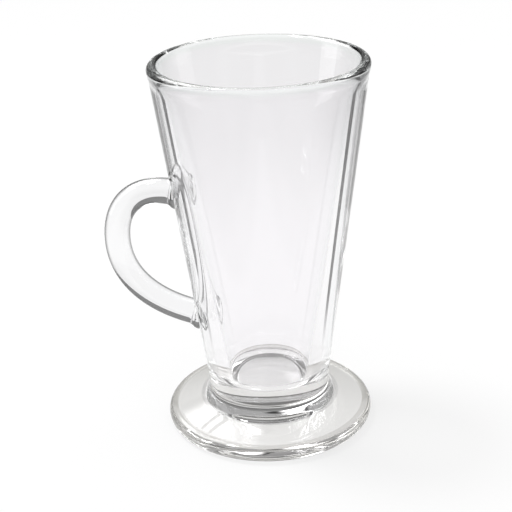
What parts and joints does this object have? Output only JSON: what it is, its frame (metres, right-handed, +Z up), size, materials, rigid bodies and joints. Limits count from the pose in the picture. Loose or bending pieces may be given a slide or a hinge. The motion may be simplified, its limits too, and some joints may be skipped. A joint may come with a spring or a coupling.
{
  "type": "glass latte mug",
  "caption": "Tall tapered clear glass mug on a short waisted stem and a round foot, with an ear-shaped side handle, for latte and other hot drinks.",
  "frame": {"origin": "middle of the foot's underside, on the mug's axis", "axes": "+Z up along the mug's axis, the handle along -X, +Y to the back when the handle is on the left"},
  "size_m": [0.107, 0.084, 0.15],
  "materials": {
    "bowl_glass": "clear, fire-polished",
    "stem_glass": "clear, fire-polished",
    "foot_glass": "clear, fire-polished",
    "handle_glass": "clear, fire-polished"
  },
  "bodies": {
    "root": {"bowl": "bowl_glass", "stem": "stem_glass", "foot": "foot_glass", "handle": "handle_glass"}
  },
  "joints": []
}
